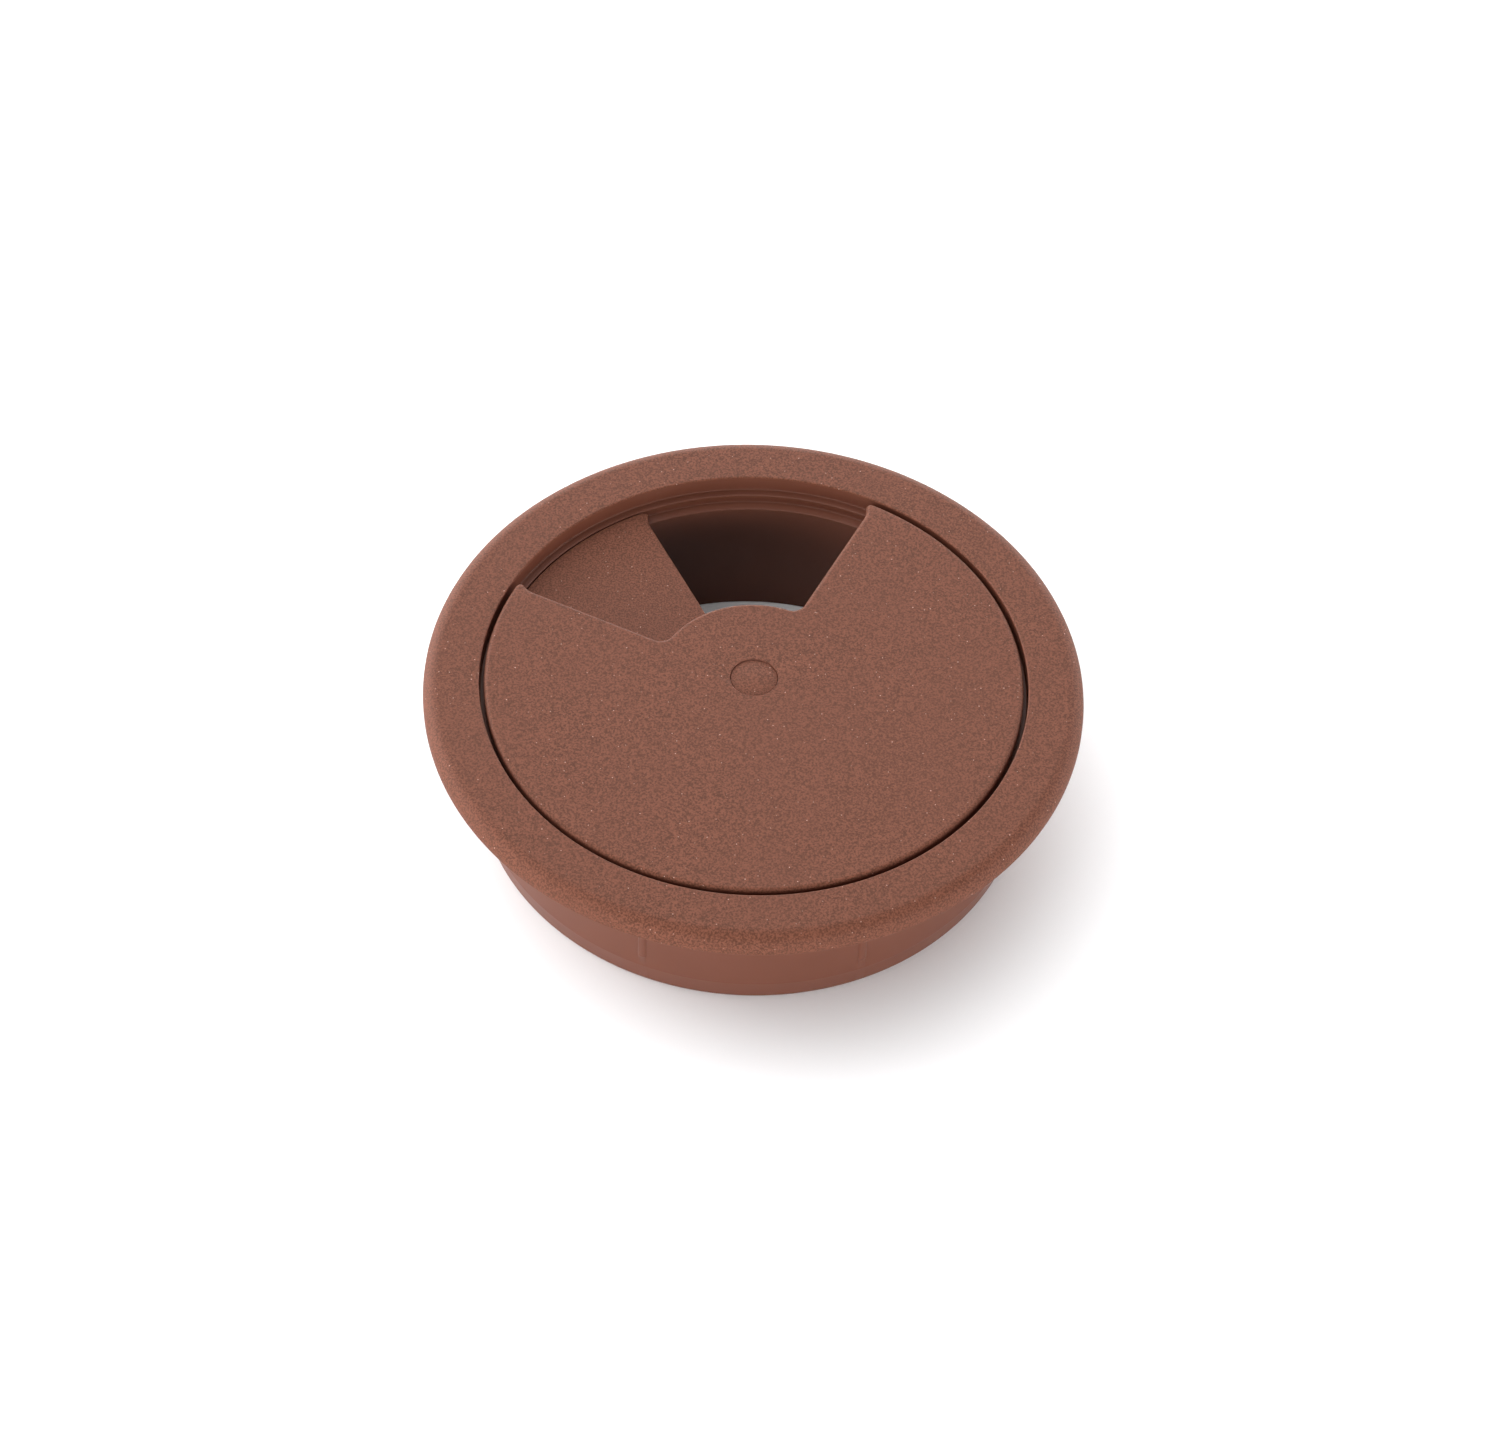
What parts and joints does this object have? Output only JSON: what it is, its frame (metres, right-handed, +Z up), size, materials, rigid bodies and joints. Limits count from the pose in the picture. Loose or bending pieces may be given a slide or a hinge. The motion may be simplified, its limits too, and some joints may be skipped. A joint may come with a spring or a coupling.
{
  "type": "desk grommet",
  "caption": "Round flanged cable grommet for a desk hole, with a notched cover disc that turns over a notched shutter disc to open or close a wedge-shaped cable window.",
  "frame": {"origin": "on the centre line, in the plane of the desk's surface, which is the plane of the flange's underside", "axes": "+Z up out of the desk along the centre line, +Y towards the side that the cover's notch faces"},
  "size_m": [0.07, 0.07, 0.017],
  "materials": {
    "brown_plastic": "fine spark-eroded matte"
  },
  "bodies": {
    "liner": {"liner": "brown_plastic"},
    "pivot": {"pivot_pin": "brown_plastic"},
    "cover": {"cover_disc": "brown_plastic"},
    "shutter": {"shutter_disc": "brown_plastic"}
  },
  "joints": [
    {"name": "lid_lift", "type": "slide", "parent": "liner", "child": "pivot", "axis": [0, 0, 1], "range_m": [0, 0.025]},
    {"name": "cover_turn", "type": "hinge", "parent": "pivot", "child": "cover", "pos_m": [0, 0, 0], "axis": [0, 0, 1], "continuous": true},
    {"name": "shutter_turn", "type": "hinge", "parent": "pivot", "child": "shutter", "pos_m": [0, 0, 0], "axis": [0, 0, 1], "continuous": true}
  ]
}
